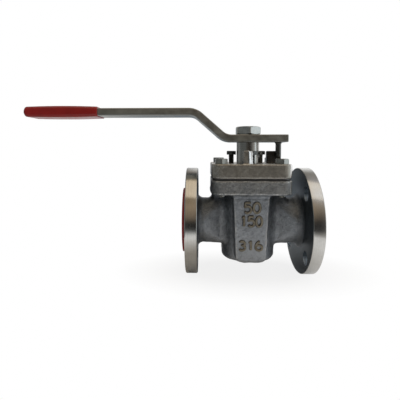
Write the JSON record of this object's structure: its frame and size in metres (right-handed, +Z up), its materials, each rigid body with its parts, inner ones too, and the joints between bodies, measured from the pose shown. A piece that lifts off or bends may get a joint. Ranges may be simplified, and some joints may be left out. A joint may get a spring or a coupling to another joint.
{
  "type": "plug valve",
  "caption": "Flanged quarter-turn plug valve with a cast body, a tapered plug in a soft sleeve, a bolted square cover, a bent hand lever with a plastic grip and plastic end caps.",
  "frame": {"origin": "point where the flow axis and the stem axis cross, midway between the two raised faces", "axes": "+X along the flow towards the outlet flange, +Z up the stem, +Y towards the back; the lever points to -X when open"},
  "size_m": [0.4091, 0.1496, 0.2373],
  "materials": {
    "cast_steel": "shot-blasted cast stainless steel",
    "turned_steel": "fine turned stainless steel; on the flanges a cast piece turned on rim and faces",
    "thin_steel": "rolled stainless sheet",
    "bright_steel": "cold-headed stainless fastener",
    "dull_steel": "dull rolled stainless bar",
    "soft_white": "waxy white seal plastic",
    "soft_dark": "carbon-filled seal plastic",
    "grip_red": "satin dark red dipped plastic",
    "cap_red": "moulded dark red plastic"
  },
  "bodies": {
    "valve": {"valve_body": "cast_steel", "inlet_flange": "turned_steel", "outlet_flange": "turned_steel", "port_sleeve": "soft_white", "stem_wedge_ring": "soft_white", "soft_diaphragm": "soft_dark", "metal_diaphragm": "thin_steel", "thrust_collar": "turned_steel", "top_cover": "cast_steel", "cover_bolt_1": "bright_steel", "cover_bolt_2": "bright_steel", "cover_bolt_3": "bright_steel", "cover_bolt_4": "bright_steel"},
    "plug_and_lever": {"plug": "turned_steel", "lever": "dull_steel", "lever_nut": "bright_steel", "stop_pin": "dull_steel", "grip_sleeve": "grip_red"},
    "inlet_cap": {"inlet_cap": "cap_red"},
    "outlet_cap": {"outlet_cap": "cap_red"},
    "adjuster_1": {"adjuster_screw_1": "bright_steel"},
    "adjuster_2": {"adjuster_screw_2": "bright_steel"},
    "adjuster_3": {"adjuster_screw_3": "bright_steel"}
  },
  "joints": [
    {"name": "quarter_turn", "type": "hinge", "parent": "valve", "child": "plug_and_lever", "pos_m": [0, 0, 0], "axis": [0, 0, 1], "range_deg": [-90, 0]},
    {"name": "inlet_cap_pull", "type": "slide", "parent": "valve", "child": "inlet_cap", "axis": [-1, 0, 0], "range_m": [0, 0.08]},
    {"name": "outlet_cap_pull", "type": "slide", "parent": "valve", "child": "outlet_cap", "axis": [1, 0, 0], "range_m": [0, 0.08]},
    {"name": "adjuster_1_back_out", "type": "slide", "parent": "valve", "child": "adjuster_1", "axis": [0, 0, 1], "range_m": [0, 0.005]},
    {"name": "adjuster_2_back_out", "type": "slide", "parent": "valve", "child": "adjuster_2", "axis": [0, 0, 1], "range_m": [0, 0.005]},
    {"name": "adjuster_3_back_out", "type": "slide", "parent": "valve", "child": "adjuster_3", "axis": [0, 0, 1], "range_m": [0, 0.005]}
  ]
}
